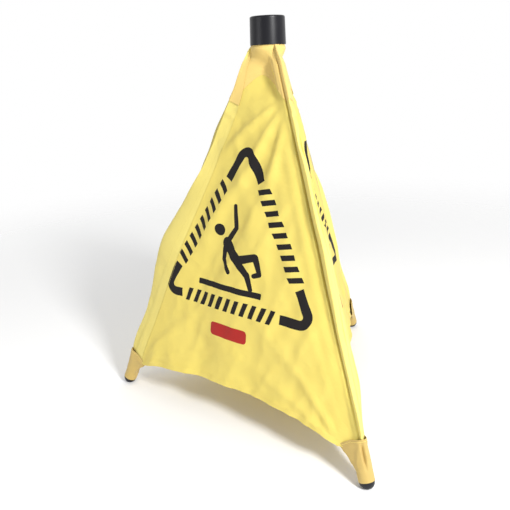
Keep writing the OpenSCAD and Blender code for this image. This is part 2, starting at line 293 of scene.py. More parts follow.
def gather(s):
    """How fully a point follows its leg as it folds, from 0 at mid panel to 1 at the leg.
    The waves in it are meant for pleats in the slack cloth between folded legs."""
    s = np.clip(np.abs(s), 0, 1)
    inside = smooth(0.0, 0.12, s) * (1 - smooth(0.72, 0.90, s))
    return s - 0.055 * inside * (1 - np.cos(2 * math.pi * PLEATS * s))


# ---------------------------------------------------------------- materials


def material(name, base, rough, **inputs):
    m = bpy.data.materials.new(name)
    m.use_nodes = True
    b = m.node_tree.nodes["Principled BSDF"]
    b.inputs["Base Color"].default_value = (*base, 1)
    b.inputs["Roughness"].default_value = rough
    for key, value in inputs.items():
        b.inputs[key.replace("_", " ")].default_value = value
    return m


class Nodes:
    """Short hands for building a node tree."""

    def __init__(self, m):
        self.tree = m.node_tree
        self.out = self.tree.nodes["Material Output"]
        self.shader = self.tree.nodes["Principled BSDF"]

    def add(self, kind, values=(), **settings):
        n = self.tree.nodes.new(kind)
        for key, value in settings.items():
            setattr(n, key, value)
        for key, value in dict(values).items():
            if hasattr(value, "is_linked"):
                self.tree.links.new(value, n.inputs[key])
            else:
                n.inputs[key].default_value = value
        return n

    def link(self, a, b):
        self.tree.links.new(a, b)


def cloth_material(name, base, shade, through, rough=0.62, sheen=0.15, shine=0.30, weave=0.00042):
    """Woven nylon: two crossed thread ribs at real scale, faint crumples, and light coming through."""
    m = material(name, base, rough)
    k = Nodes(m)
    uv = k.add("ShaderNodeUVMap", uv_map="cloth")
    split = k.add("ShaderNodeSeparateXYZ", {0: uv.outputs["UV"]})
    ribs = []
    for axis in ("X", "Y"):
        turn = k.add("ShaderNodeMath", {0: split.outputs[axis], 1: 2 * math.pi / weave}, operation="MULTIPLY")
        ribs.append(k.add("ShaderNodeMath", {0: turn.outputs[0]}, operation="SINE"))
    over = k.add("ShaderNodeMath", {0: ribs[0].outputs[0], 1: ribs[1].outputs[0]}, operation="MULTIPLY")
    crumple = k.add(
        "ShaderNodeTexNoise",
        {"Vector": uv.outputs["UV"], "Scale": 42.0, "Detail": 4.0, "Roughness": 0.55, "Distortion": 0.6},
    )
    broad = k.add("ShaderNodeTexNoise", {"Vector": uv.outputs["UV"], "Scale": 9.0, "Detail": 2.0})
    tint = k.add(
        "ShaderNodeMix",
        {"Factor": broad.outputs["Fac"], 6: (*base, 1), 7: (*shade, 1)},
        data_type="RGBA",
    )
    first = k.add("ShaderNodeBump", {"Height": crumple.outputs["Fac"], "Distance": 0.0016, "Strength": 0.55})
    second = k.add(
        "ShaderNodeBump",
        {"Height": over.outputs[0], "Distance": 0.00005, "Strength": 0.35, "Normal": first.outputs[0]},
    )
    k.link(tint.outputs[2], k.shader.inputs["Base Color"])
    k.link(second.outputs[0], k.shader.inputs["Normal"])
    k.shader.inputs["Sheen Weight"].default_value = sheen
    k.shader.inputs["Sheen Roughness"].default_value = 0.5
    k.shader.inputs["Specular IOR Level"].default_value = shine
    if through > 0:
        glow = k.add("ShaderNodeBsdfTranslucent", {"Color": tint.outputs[2], "Normal": second.outputs[0]})
        mix = k.add("ShaderNodeMixShader", {0: through, 1: k.shader.outputs[0], 2: glow.outputs[0]})
        k.link(mix.outputs[0], k.out.inputs["Surface"])
    return m


def moulded_material(name, base, rough, grain, shine):
    """Moulded plastic or rubber with a fine surface grain and slightly uneven gloss."""
    m = material(name, base, rough)
    k = Nodes(m)
    at = k.add("ShaderNodeTexCoord")
    fine = k.add("ShaderNodeTexNoise", {"Vector": at.outputs["Object"], "Scale": 1400.0, "Detail": 2.0})
    wide = k.add("ShaderNodeTexNoise", {"Vector": at.outputs["Object"], "Scale": 60.0, "Detail": 3.0})
    gloss = k.add(
        "ShaderNodeMapRange", {"Value": wide.outputs["Fac"], "To Min": rough - 0.06, "To Max": rough + 0.08}
    )
    lumps = k.add("ShaderNodeBump", {"Height": fine.outputs["Fac"], "Distance": grain, "Strength": 0.5})
    k.shader.inputs["Specular IOR Level"].default_value = shine
    k.link(gloss.outputs[0], k.shader.inputs["Roughness"])
    k.link(lumps.outputs[0], k.shader.inputs["Normal"])
    return m


YELLOW, YELLOW_DEEP = (0.91, 0.772, 0.205), (0.87, 0.730, 0.168)
OCHRE, OCHRE_DEEP = (0.82, 0.61, 0.205), (0.76, 0.545, 0.160)
# the pockets' cloth is the top's ochre darkened: partly dirt, partly painted shade for the low pockets
POCKET_DIRT_AND_SHADE, POCKET_DIRT_AND_SHADE_DEEP = (0.62, 0.455, 0.145), (0.50, 0.345, 0.100)
BLACK, BLACK_DEEP = (0.014, 0.012, 0.013), (0.018, 0.016, 0.016)
RED, RED_DEEP = (0.40, 0.020, 0.016), (0.36, 0.018, 0.014)
MATS = {
    "panel": cloth_material("nylon_panel", YELLOW, YELLOW_DEEP, 0.28),
    "sleeve": cloth_material("nylon_sleeve", (0.92, 0.80, 0.25), YELLOW, 0.24),
    "double": cloth_material("nylon_double", OCHRE, OCHRE_DEEP, 0.08),
    # pocket cloth: darker ochre, partly dirt and partly painted shade
    "pocket": cloth_material("nylon_pocket_dirt_and_shade", POCKET_DIRT_AND_SHADE, POCKET_DIRT_AND_SHADE_DEEP, 0.04),
    "ink": cloth_material("printed_black", BLACK, BLACK_DEEP, 0.0, 0.6, 0.0, 0.12),
    "badge": cloth_material("printed_red", RED, RED_DEEP, 0.0, 0.5, 0.0, 0.2),
    "thread": material("thread", (0.90, 0.77, 0.24), 0.7),
    "cap": moulded_material("black_cap", (0.008, 0.008, 0.011), 0.34, 0.00004, 0.32),
    "plastic": moulded_material("black_hub", (0.014, 0.014, 0.016), 0.5, 0.00004, 0.4),
    "rubber": moulded_material("black_rubber", (0.008, 0.008, 0.011), 0.5, 0.00006, 0.35),
    "steel": material("zinc_steel", (0.62, 0.62, 0.63), 0.32, Metallic=1.0),
    "alloy": material("drawn_aluminium", (0.75, 0.76, 0.77), 0.38, Metallic=1.0),
}

CAD_LOOKS = {
    "cap": "cap",
    "hub": "plastic",
    "clamp_ring": "plastic",
    "cap_screws": "steel",
    "leg_pin": "steel",
    "spring": "steel",
    "knuckle": "plastic",
    "rivet": "steel",
    "leg_tube": "alloy",
    "foot_tip": "rubber",
}


def kind_of(node):
    """A CAD node's name without its leg's."""
    for leg in LEGS:
        node = node.removesuffix(f"_{leg}")
    return node


for name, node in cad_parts.items():
    if kind_of(name) in CAD_LOOKS:
        node.data.materials.clear()
        node.data.materials.append(MATS[CAD_LOOKS[kind_of(name)]])
        for face in node.data.polygons:
            face.material_index = 0

# ---------------------------------------------------------------- meshes


def make_object(name, points, faces, looks, face_look=None, uv=None, normals=None):
    """A mesh object. uv is given for each point, in metres; normals for each face corner."""
    mesh = bpy.data.meshes.new(name)
    mesh.from_pydata([tuple(p) for p in points], [], [tuple(int(i) for i in f) for f in faces])
    for look in looks:
        mesh.materials.append(MATS[look])
    if face_look is not None:
        mesh.polygons.foreach_set("material_index", np.asarray(face_look, np.int32))
    mesh.polygons.foreach_set("use_smooth", np.ones(len(mesh.polygons), bool))
    if uv is not None:
        layer = mesh.uv_layers.new(name="cloth")
        corner = np.zeros(len(mesh.loops), np.int32)
        mesh.loops.foreach_get("vertex_index", corner)
        layer.data.foreach_set("uv", np.asarray(uv, np.float32)[corner].ravel())
    if normals is not None:
        mesh.normals_split_custom_set([tuple(n) for n in normals])
    mesh.update()
    obj = bpy.data.objects.new(name, mesh)
    bpy.context.scene.collection.objects.link(obj)
    return obj


def shell(name, points, normals, tris, looks, face_look, uv, thick=CLOTH):
    """A closed sheet: the outer face, the inner face thick below it, and a rim along every edge."""
    tris = np.asarray(tris)
    count = len(points)
    edges = np.concatenate([tris[:, [0, 1]], tris[:, [1, 2]], tris[:, [2, 0]]])
    keys = np.sort(edges, axis=1)
    _, first, uses = np.unique(keys, axis=0, return_index=True, return_counts=True)
    rim = edges[first[uses == 1]]
    faces = (
        [list(t) for t in tris]
        + [[t[2] + count, t[1] + count, t[0] + count] for t in tris]
        + [[b, a, a + count, b + count] for a, b in rim]
    )
    both = np.concatenate([points, points - normals * thick])
    outer = normals[tris].reshape(-1, 3)
    inner = -normals[tris[:, ::-1]].reshape(-1, 3)
    edge = np.zeros((4 * len(rim), 3))
    looks_of = np.concatenate([face_look, np.zeros(len(tris) + len(rim), int)])
    corners = np.concatenate([outer, inner, edge])
    return make_object(name, both, faces, looks, looks_of, np.concatenate([uv, uv]), corners)


def set_blend(obj, weights):
    """Bake the object's transform into its mesh. The weights, one for each point, are not stored."""
    weights = np.asarray(weights, np.float32)
    count = len(obj.data.vertices)
    if len(weights) * 2 == count:
        weights = np.concatenate([weights, weights])
    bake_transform(obj)


def grid_tris(rows, cols, closed=False):
    """Triangles of a grid of points, row by row; closed joins each row's end to its start."""
    index = np.arange(rows * cols).reshape(rows, cols)
    if closed:
        index = np.concatenate([index, index[:, :1]], axis=1)
    a, b, c, d = index[:-1, :-1], index[:-1, 1:], index[1:, 1:], index[1:, :-1]
    return np.concatenate(
        [np.stack([a, b, c], -1).reshape(-1, 3), np.stack([a, c, d], -1).reshape(-1, 3)]
    )


def smooth_normals(points, tris):
    """A unit normal for each point, the mean over its faces."""
    n = np.zeros_like(points)
    face = np.cross(points[tris[:, 1]] - points[tris[:, 0]], points[tris[:, 2]] - points[tris[:, 0]])
    for k in range(3):
        np.add.at(n, tris[:, k], face)
    return n / np.maximum(np.linalg.norm(n, axis=1), 1e-12)[:, None]


# ---------------------------------------------------------------- the print


def arc(cx, cy, r, start, end, count):
    """Points of a round stretch, from bearing start to bearing end in degrees."""
    a = np.radians(np.linspace(start, end, count))
    return np.stack([cx + r * np.cos(a), cy + r * np.sin(a)], 1)


def capsule(p, q, rp, rq):
    """Outline of a limb: round ends of radius rp at p and rq at q."""
    p, q = np.array(p, float), np.array(q, float)
    a = math.degrees(math.atan2(q[1] - p[1], q[0] - p[0]))
    return np.concatenate([arc(*p, rp, a + 90, a + 270, 9), arc(*q, rq, a - 90, a + 90, 9)])


def bracket(corner, into, out, arm_in, arm_out, outer=0.024, width=0.018):
    """Outline of a rounded corner stroke. into and out are its two arms' bearings in degrees, and the
    corner turns left from one to the other about the point corner."""
    a0, a1 = into - 90, out - 90
    cx, cy = corner
    bend = arc(cx, cy, outer, a0, a1, 13)
    back = arc(cx, cy, outer - width, a1, a0, 9)
    start = np.array([math.cos(math.radians(into)), math.sin(math.radians(into))]) * -arm_in
    end = np.array([math.cos(math.radians(out)), math.sin(math.radians(out))]) * arm_out
    over, under = [bend[0] + start], [bend[-1] + end]
    return np.concatenate([over, bend, under, [back[0] + end], back, [back[-1] + start]])


def slanted_blocks(a, b, count, height=0.027, width=0.0105, slant=0.009):
    """A row of slanted warning blocks centred on the line from a to b."""
    a, b = np.array(a, float), np.array(b, float)
    along = (b - a) / np.linalg.norm(b - a)
    across = np.array([-along[1], along[0]])
    pitch = np.linalg.norm(b - a) / count
    lean = (across * height + along * slant) / 2
    wide = along * width / 2
    found = []
    for i in range(count):
        c = a + along * pitch * (i + 0.5)
        found.append(np.array([c - lean - wide, c - lean + wide, c + lean + wide, c + lean - wide]))
    return found


def round_bar(cx, cy, w, h, r):
    """Outline of a bar with rounded corners."""
    return np.concatenate(
        [
            arc(cx + w / 2 - r, cy - h / 2 + r, r, -90, 0, 7),
            arc(cx + w / 2 - r, cy + h / 2 - r, r, 0, 90, 7),
            arc(cx - w / 2 + r, cy + h / 2 - r, r, 90, 180, 7),
            arc(cx - w / 2 + r, cy - h / 2 + r, r, 180, 270, 7),
        ]
    )


PRINT_LOW, PRINT_HIGH, PRINT_SIDE = 0.264, 0.526, 0.151  # the printed triangle's corners
LINE = 0.015  # the border line's middle, outside those corners


def print_border():
    """Outlines of the warning triangle: three rounded corners, and slanted blocks between them."""
    right, left, top = (PRINT_SIDE, PRINT_LOW), (-PRINT_SIDE, PRINT_LOW), (0.0, PRINT_HIGH)
    along = np.array([math.cos(math.radians(60)), math.sin(math.radians(60))])
    out = np.array([-along[1], along[0]])
    start = np.array(left) + out * LINE + along * 0.050
    end = np.array(top) + out * LINE - along * 0.060
    right_start = np.array(left) + out * LINE + along * 0.052
    mirror = np.array([-1, 1])
    low = PRINT_LOW - LINE
    return [
        bracket(top, 120, 240, 0.052, 0.052),
        bracket(left, 240, 360, 0.042, 0.018),
        bracket(right, 0, 120, 0.042, 0.044),
        *slanted_blocks(start, end, 9),
        *slanted_blocks(end * mirror, right_start * mirror, 9),
        *slanted_blocks((-PRINT_SIDE + 0.026, low), (PRINT_SIDE - 0.050, low), 11),
    ]


def slipping_figure():
    """Outlines of a generic slipping figure over a floor line."""
    return [
        arc(-0.047, 0.391, 0.0115, 0, 348, 30),
        capsule((-0.028, 0.368), (0.004, 0.338), 0.0115, 0.0105),
        capsule((-0.026, 0.371), (-0.008, 0.399), 0.0058, 0.0050),
        capsule((-0.008, 0.399), (-0.015, 0.440), 0.0050, 0.0040),
        capsule((-0.031, 0.364), (-0.033, 0.336), 0.0058, 0.0050),
        capsule((-0.033, 0.336), (-0.016, 0.313), 0.0050, 0.0042),
        capsule((0.006, 0.340), (0.046, 0.352), 0.0085, 0.0070),
        capsule((0.046, 0.352), (0.057, 0.322), 0.0070, 0.0052),
        capsule((0.057, 0.322), (0.045, 0.317), 0.0052, 0.0045),
        capsule((0.004, 0.336), (0.030, 0.316), 0.0085, 0.0068),
        capsule((0.030, 0.316), (0.040, 0.290), 0.0068, 0.0045),
        round_bar(-0.014, 0.2815, 0.158, 0.0115, 0.002),
    ]


def print_outlines(shift):
    """(black outlines, red outlines) in panel coordinates, metres, shift metres off the panel's middle."""
    move = np.array([shift, 0])
    black = print_border() + slipping_figure()
    red = [round_bar(-0.004, 0.196, 0.092, 0.026, 0.008)]
    return [o + move for o in black], [o + move for o in red]


def inside(points, outline):
    """Which points lie in a closed outline."""
    x, y = points[:, 0], points[:, 1]
    found = np.zeros(len(points), bool)
    for (x0, y0), (x1, y1) in zip(outline, np.roll(outline, -1, axis=0)):
        if y0 == y1:
            continue
        crosses = (y0 > y) != (y1 > y)
        found ^= crosses & (x < (x1 - x0) * (y - y0) / (y1 - y0) + x0)
    return found


def divided(outline, step):
    """A closed outline with its long sides divided."""
    found = []
    for p, q in zip(outline, np.roll(outline, -1, axis=0)):
        parts = max(1, int(math.ceil(np.linalg.norm(q - p) / step)))
        found += [p + (q - p) * i / parts for i in range(parts)]
    return np.array(found)


# ---------------------------------------------------------------- the flat cut of a panel

SPACING = 0.0066  # of the points that fill it
PRINT_STEP = 0.005  # longest step along a print line


def panel_border():
    """Outline of the flat cut: along the hem, up its +u side, across the top and down its -u side."""
    side = np.linspace(0.068, TOP_V, 110)
    low = [(x, hem(x)) for x in np.linspace(-HEM_U, HEM_U, 88)]
    right = [(half(v) + wrap(v), v) for v in side]
    across = [(x, TOP_V) for x in np.linspace(half(TOP_V), -half(TOP_V), 6)[1:-1]]
    left = [(-half(v), v) for v in side[::-1]]
    return np.array(low + right + across + left)


def inner_lines():
    """Lines that the cut's triangles follow: two along the +u leg, the middle, and the hem's fold."""
    for share, start, end in ((1, 0.085, 0.70), (0.5, 0.085, 0.66)):
        yield [(half(v) + (1 - share) * WRAP, v) for v in np.linspace(start, end, 105)]
    middle = np.array([(0.0, v) for v in np.arange(HEM_MID, TOP_V, SPACING)[1:]])
    yield np.concatenate([[(0.0, HEM_MID)], middle, [(0.0, TOP_V)]])
    for depth in (HEM_DEPTH + 0.0006, HEM_DEPTH - 0.0006):
        yield [(x, hem(x) + depth) for x in np.linspace(-HEM_U + 0.004, HEM_U - 0.004, 84)]


def filling(inked):
    """Points of a triangular pattern inside the cut, clear of its lines and of the print's."""
    fill = []
    for row, v in enumerate(np.arange(0.06, TOP_V, SPACING * 0.866)):
        for x in np.arange(-0.28, 0.28, SPACING) + (row % 2) * SPACING / 2:
            in_cut = 0.003 < abs(x) < half(v) - 0.004 and hem(x) + 0.003 < v < TOP_V - 0.003
            if in_cut and abs(v - hem(x) - HEM_DEPTH) > 0.003:
                fill.append((x, v))
    fill = np.array(fill)
    near = np.zeros(len(fill), bool)
    for part in np.array_split(inked, 40):
        near |= (np.linalg.norm(fill[:, None] - part[None], axis=2) < 0.0026).any(axis=1)
    return fill[~near]


def doubled_areas(flat, tris):
    """Twice the signed area of each flat triangle."""
    a, b, c = flat[tris[:, 0]], flat[tris[:, 1]], flat[tris[:, 2]]
    return (b[:, 0] - a[:, 0]) * (c[:, 1] - a[:, 1]) - (b[:, 1] - a[:, 1]) * (c[:, 0] - a[:, 0])


def flat_panel(shift):
    """The flat cut with its print lines as edges: (points, triangles, look of each triangle)."""
    points, edges = [], []

    def add(line, closed):
        first = len(points)
        points.extend(map(tuple, line))
        last = len(points) - 1
        edges.extend((i, i + 1) for i in range(first, last))
        if closed:
            edges.append((last, first))

    border = panel_border()
    add(border, True)
    for line in inner_lines():
        add(line, False)
    black, red = print_outlines(shift)
    printed = [divided(o, PRINT_STEP) for o in black + red]
    for line in printed:
        add(line, True)
    points.extend(map(tuple, filling(np.concatenate(printed))))
    made = delaunay_2d_cdt([Vector(p) for p in points], edges, [], 0, 1e-7, False)
    flat = np.array([tuple(p) for p in made[0]])
    tris = np.array([f for f in made[2] if len(f) == 3])
    area = doubled_areas(flat, tris)
    centre = flat[tris].mean(axis=1)
    keep = inside(centre, border) & (np.abs(area) > 1e-12)
    tris[area < 0] = tris[area < 0][:, ::-1]
    tris, centre = tris[keep], centre[keep]
    look = np.zeros(len(tris), int)
    for colour, outlines in enumerate((black, red), 1):
        for outline in outlines:
            look[inside(centre, outline)] = colour
    return flat, tris, look


# ---------------------------------------------------------------- stitching

STITCH_PITCH = 0.0032
SECTION = ((1, 0), (0, 1), (-1, 0), (0, -0.6))  # of a stitch: across it, and off the cloth


def stitches(name, centres, directions, normals, weights, length=0.0022, size=0.00028):
    """A row of thread stitches, each a small pointed capsule that lies on the cloth."""
    points, faces, w = [], [], []
    for c, d, n, weight in zip(centres, directions, normals, weights):
        side = np.cross(d, n)
        base = len(points)
        for t, r in ((-0.5, 0.25), (-0.3, 1.0), (0.3, 1.0), (0.5, 0.25)):
            for x, y in SECTION:
                points.append(c + d * length * t + side * size * r * x + n * size * r * y)
                w.append(weight)
        for ring in range(3):
            for k in range(4):
                a, b = base + ring * 4 + k, base + ring * 4 + (k + 1) % 4
                faces.append([a, b, b + 4, a + 4])
        faces.append([base + 3, base + 2, base + 1, base])
        faces.append([base + 12, base + 13, base + 14, base + 15])
    obj = make_object(name, np.array(points), faces, ["thread"])
    set_blend(obj, w)
    return obj


def run_of(line):
    """Length along a line up to each of its points."""
    return np.concatenate([[0], np.cumsum(np.linalg.norm(np.diff(line, axis=0), axis=1))])


def unit(vectors):
    """Each row at length 1."""
    return vectors / np.linalg.norm(vectors, axis=1)[:, None]


def stitch_line(flat, panel, lift):
    """Stitch centres, directions and normals along a flat line on a panel, and their flat places."""
    run = run_of(flat)
    at = np.arange(STITCH_PITCH, run[-1] - STITCH_PITCH, STITCH_PITCH)
    u, v = np.interp(at, run, flat[:, 0]), np.interp(at, run, flat[:, 1])
    points = panel_points(u, v, panel, lift)
    return points, unit(np.gradient(points, axis=0)), panel_normals(u, v, panel), u, v


# ---------------------------------------------------------------- hinge springs


def wound_spring(leg):
    """A steel copy of a leg's torsion spring, shown in place of its CAD node."""
    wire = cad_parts[f"spring_{leg}"].data.copy()
    wire.materials.clear()
    wire.materials.append(MATS["steel"])
    spring = bpy.data.objects.new(f"wound_spring_{leg}", wire)
    bpy.context.scene.collection.objects.link(spring)
    hinge, down, _, along = leg_frame(LEGS[leg])
    at = np.array([tuple(v.co) for v in wire.vertices]) - hinge
    fixed = at[at[:, 2] > at[:, 2].max() - 0.001] @ along
    arm = at[at @ down > (at @ down).max() - 0.002] @ along
    set_blend(spring, np.clip((at @ along - fixed.mean()) / (arm.mean() - fixed.mean()), 0, 1))
    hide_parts(f"spring_{leg}")


for leg in LEGS:
    wound_spring(leg)

# ---------------------------------------------------------------- panels and reinforced top

EDGE_U = 0.0605  # half width of the reinforced top along its lower edge
SEAM_OUT, SEAM_IN = 0.0085, 0.0250  # a side seam past the +u leg line, and inside the -u one


def panel_follow(u, v, z):
    """How fully points of a panel follow the leg on their side."""
    return gather(u / half(v)) * hang(z)


def panel_stitches(panel, leg, side):
    """Stitching on half a panel: the hem, the side seam, and the edge of the reinforced top."""
    u_hem = np.linspace(0, HEM_U - 0.012, 90) * side
    v_side = np.linspace(0.095, 0.615, 120)
    seam = half(v_side) + (SEAM_OUT if side > 0 else -SEAM_IN)
    u_arch = np.linspace(0, EDGE_U - 0.002, 40) * side
    rows = [
        (np.stack([u_hem, hem(u_hem) + HEM_DEPTH - 0.002], 1), 0.0002),
        (np.stack([seam * side, v_side], 1), 0.0002),
        (np.stack([u_arch, arch(u_arch) + 0.0035], 1), 0.0009),
    ]
    parts = [stitch_line(line, panel, lift) for line, lift in rows]
    p, d, n, u, v = (np.concatenate([part[k] for part in parts]) for k in range(5))
    return stitches(f"stitches_{panel}_{leg}", p, d, n, panel_follow(u, v, p[:, 2]))


def panel_half(panel, leg, flat, tris, look, points, normals):
    """The half of a panel on one leg's side, with its share of the print."""
    used, local = np.unique(tris, return_inverse=True)
    piece = shell(
        f"panel_{panel}_{leg}", points[used], normals[used], local.reshape(-1, 3),
        ["panel", "ink", "badge"], look, flat[used],
    )
    set_blend(piece, panel_follow(flat[used, 0], flat[used, 1], points[used, 2]))
    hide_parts(f"panel_{panel}")
    return piece


def collar_half(panel, leg, side):
    """The reinforced top over half a panel, one layer above it."""
    rows, cols = 30, 30
    q, t = np.meshgrid(np.linspace(0, 1, rows), np.linspace(0, 1, cols), indexing="ij")
    low = arch(t * EDGE_U)
    v = low + (TOP_V - 0.001 - low) * q
    u = t * (half(v) + (wrap(v) - 0.001 if side > 0 else 0)) * side
    u, v = u.ravel(), v.ravel()
    points, normals = panel_points(u, v, panel, 0.0008), panel_normals(u, v, panel)
    tris = grid_tris(rows, cols)
    if (smooth_normals(points, tris) * normals).sum() < 0:
        tris = tris[:, ::-1]
    look = np.zeros(len(tris), int)
    collar = shell(
        f"collar_{panel}_{leg}", points, normals, tris, ["double"], look, np.stack([u, v], 1), 0.0006
    )
    set_blend(collar, panel_follow(u, v, points[:, 2]))
    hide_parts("collar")


for panel, side_of in PANELS.items():
    flat, tris, look = flat_panel(side_of.print_shift)
    points = panel_points(flat[:, 0], flat[:, 1], panel)
    normals = smooth_normals(points, tris)
    middle = flat[tris].mean(axis=1)[:, 0]
    for side, leg in ((1, side_of.plus_leg), (-1, side_of.minus_leg)):
        mine = middle * side > 0
        piece = panel_half(panel, leg, flat, tris[mine], look[mine], points, normals)
        sewn = panel_stitches(panel, leg, side)
        collar_half(panel, leg, side)

# ---------------------------------------------------------------- sleeves and the top's wraps over them

# q is the distance down a leg's axis from its hinge
SLEEVE_START = 0.014
UNDER_TOP = 0.118  # the sleeve is ochre above this, under the reinforced top
WRAP_END = 0.126
POCKET_TOP, POCKET_LOW = LEG - 0.074, LEG - 0.001
BAND = 20  # columns across the sleeve's outer band, of the whole loop
INNER_R = 0.0071  # inside of the sleeve, clear of the tube
INNER_AT = np.radians([72, 92, 112, 135, 158, 180, 202, 225, 248, 270, 288, 306, 322])


def beside_leg(q, leg, width, lift):
    """Where the surface of the panel that a leg's sleeve laps on to is, width metres in from the leg line,
    in the leg's section."""
    panel = next(name for name, side in PANELS.items() if side.minus_leg == leg)
    hinge, _, out, along = leg_frame(LEGS[leg])
    v = (PIVOT_Z - q * math.cos(TILT)) / math.cos(SLOPE)
    u = width * math.cos(HALF_ANGLE) - half(v)
    v = v - width * math.sin(HALF_ANGLE)
    at = panel_points(np.maximum(u, -half(v)), v, panel, lift) - hinge
    return np.stack([at @ out, at @ along], 1)


def lap_width(z):
    """How far a sleeve laps on to the next panel."""
    return 0.0040 + 0.0170 * smooth(0.700, 0.600, z)


def sleeve_band(q, leg, lift):
    """Outer band of a sleeve in its leg's section, one row for each q: it bulges from the crease to its
    lap on the next panel, lift metres above that."""
    z = PIVOT_Z - q * math.cos(TILT)
    at, away, slack, _ = crease(leg, z)
    free = smooth(0.715, 0.701, z)
    start = np.stack([away * np.cos(at), away * np.sin(at)], 1)
    width = lap_width(z)
    end = beside_leg(q, leg, width, lift)
    ahead = unit(end - beside_leg(q, leg, width + 0.004, lift))
    bulge = np.stack([np.cos(at - 0.12), np.sin(at - 0.12)], 1)
    near = start + (0.0022 + (0.0060 + 0.90 * slack) * free)[:, None] * bulge
    far = end + (0.0040 + 0.9 * width + 0.75 * slack)[:, None] * ahead
    t = np.linspace(0, 1, BAND)[None, :, None]
    band = (
        (1 - t) ** 3 * start[:, None] + 3 * (1 - t) ** 2 * t * near[:, None]
        + 3 * (1 - t) * t**2 * far[:, None] + t**3 * end[:, None]
    )
    dent = field(q[:, None], np.linspace(0, 0.03, BAND)[None], 0.040, 7 + LEGS[leg])
    ease = np.sin(math.pi * np.linspace(0, 1, BAND))[None] * free[:, None]
    out = band / np.linalg.norm(band, axis=2)[..., None]
    return band + (0.0011 * dent * ease)[..., None] * out


def sleeve_loop(q, leg):
    """Whole loops of a sleeve: its outer band, and the way back round the inside of the tube."""
    band = sleeve_band(q, leg, 0.0004)
    width = lap_width(PIVOT_Z - q * math.cos(TILT))
    beside, facing = BESIDE * SWAP, FACING * SWAP
    edge = beside_leg(q, leg, 0 * width, 0.0)
    back = [
        band[:, -1] - 0.0003 * facing,
        beside_leg(q, leg, 0.4 * width, 0.0001),
        edge + 0.0010 * beside,
        edge + 0.0012 * beside - 0.0012 * facing,
    ]
    inner = INNER_R * np.stack([np.cos(INNER_AT), np.sin(INNER_AT)], 1)
    back += [np.broadcast_to(place, edge.shape) for place in inner]
    return np.concatenate([band, np.stack(back, 1)], 1)


def sweep(q, loops, leg):
    """Points of section loops carried down a leg."""
    hinge, down, out, along = leg_frame(LEGS[leg])
    q = np.broadcast_to(np.asarray(q)[..., None] if np.ndim(q) == 1 else q, loops.shape[:2])
    points = hinge + q[..., None] * down + loops[..., :1] * out + loops[..., 1:] * along
    return points.reshape(-1, 3)


def facing_out(points, tris, centre):
    """The triangles and normals, turned so that they face away from the centre line."""
    normals = smooth_normals(points, tris)
    if ((points - centre) * normals).sum() < 0:
        return tris[:, ::-1], -normals
    return tris, normals


def sleeve(leg):
    """A sleeve round its leg's tube, lapped on to the next panel and stitched there."""
    hinge, down, out, along = leg_frame(LEGS[leg])
    q = np.linspace(SLEEVE_START, POCKET_TOP + 0.012, 190)
    loops = sleeve_loop(q, leg)
    cols = loops.shape[1]
    points = sweep(q, loops, leg)
    axis = hinge + np.repeat(q, cols)[:, None] * down
    tris, normals = facing_out(points, grid_tris(len(q), cols, True), axis)
    run = np.cumsum(np.linalg.norm(np.diff(loops, axis=1), axis=2), 1)
    run = np.concatenate([np.zeros((len(q), 1)), run], 1)
    uv = np.stack([run.ravel(), np.repeat(q, cols)], 1)
    under_top = (uv[tris][:, :, 1].mean(axis=1) < UNDER_TOP).astype(int)
    piece = shell(
        f"nylon_sleeve_{leg}", points, normals, tris, ["sleeve", "double"], under_top, uv, 0.0004
    )
    set_blend(piece, hang(points[:, 2]))
    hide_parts(f"sleeve_{leg}")
    # the lap's stitching
    rows = slice(30, -8)
    line = sweep(q[rows], loops[rows, BAND - 3][:, None], leg)
    lengths = run_of(line)
    at = np.arange(0.003, lengths[-1] - 0.003, STITCH_PITCH)
    spots = np.stack([np.interp(at, lengths, line[:, k]) for k in range(3)], 1)
    facing = FACING * SWAP
    off = np.broadcast_to(facing[0] * out + facing[1] * along, spots.shape)
    ahead = unit(np.gradient(spots, axis=0))
    sewn = stitches(f"stitches_sleeve_{leg}", spots + 0.0002 * off, ahead, off, hang(spots[:, 2]))


def collar_wrap(leg):
    """The reinforced top where it goes over a sleeve's band."""
    hinge, down, _, _ = leg_frame(LEGS[leg])
    q = np.linspace(SLEEVE_START, WRAP_END, 44)
    points = sweep(q, sleeve_band(q, leg, 0.0013), leg)
    axis = hinge + np.repeat(q, BAND)[:, None] * down
    tris, normals = facing_out(points, grid_tris(len(q), BAND), axis)
    uv = np.stack([np.tile(np.linspace(0, 0.03, BAND), len(q)), np.repeat(q, BAND)], 1)
    look = np.zeros(len(tris), int)
    cover = shell(
        f"collar_wrap_{leg}", points + 0.0006 * normals, normals, tris, ["double"], look, uv, 0.0006
    )
    set_blend(cover, hang(points[:, 2]))
    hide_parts("collar")


for leg in LEGS:
    sleeve(leg)
    collar_wrap(leg)

# ---------------------------------------------------------------- foot pockets

# a pocket's top section as (past the leg, off the panel) pairs in mm, round one side from the ridge:
# over the sleeve, out along the panel to the wing's tip, and back inside
RIDGE, BACK = np.array([0.0196, 0.0]), np.array([-0.0098, 0.0])
WING = [
    (13.3, 13.5), (6.8, 14.8), (-2, 13.0), (-13, 11.8), (-24, 10.6), (-33.5, 9.8), (-36.5, 7.6),
    (-33.5, 5.2), (-18, 3.4),
]
RING_AT = np.radians([0, 20, 36, 54, 72, 90, 104, 114, 124, 142, 180])
RING_R = 0.0143  # round the foot
POCKET_R = 0.014  # by which turns round a pocket are laid flat
RING_DOWN = 0.74  # share of the pocket's length at which it is round


def closed_spline(keys, count):
    """Catmull-Rom curve through a closed loop of points."""
    t = np.linspace(0, len(keys), count, endpoint=False)
    i = t.astype(int)
    f = (t - i)[:, None]
    p = [keys[(i + k) % len(keys)] for k in (-1, 0, 1, 2)]
    return 0.5 * (
        2 * p[1] + (p[2] - p[0]) * f + (2 * p[0] - 5 * p[1] + 4 * p[2] - p[3]) * f**2
        + (3 * p[1] - p[0] - 3 * p[2] + p[3]) * f**3
    )


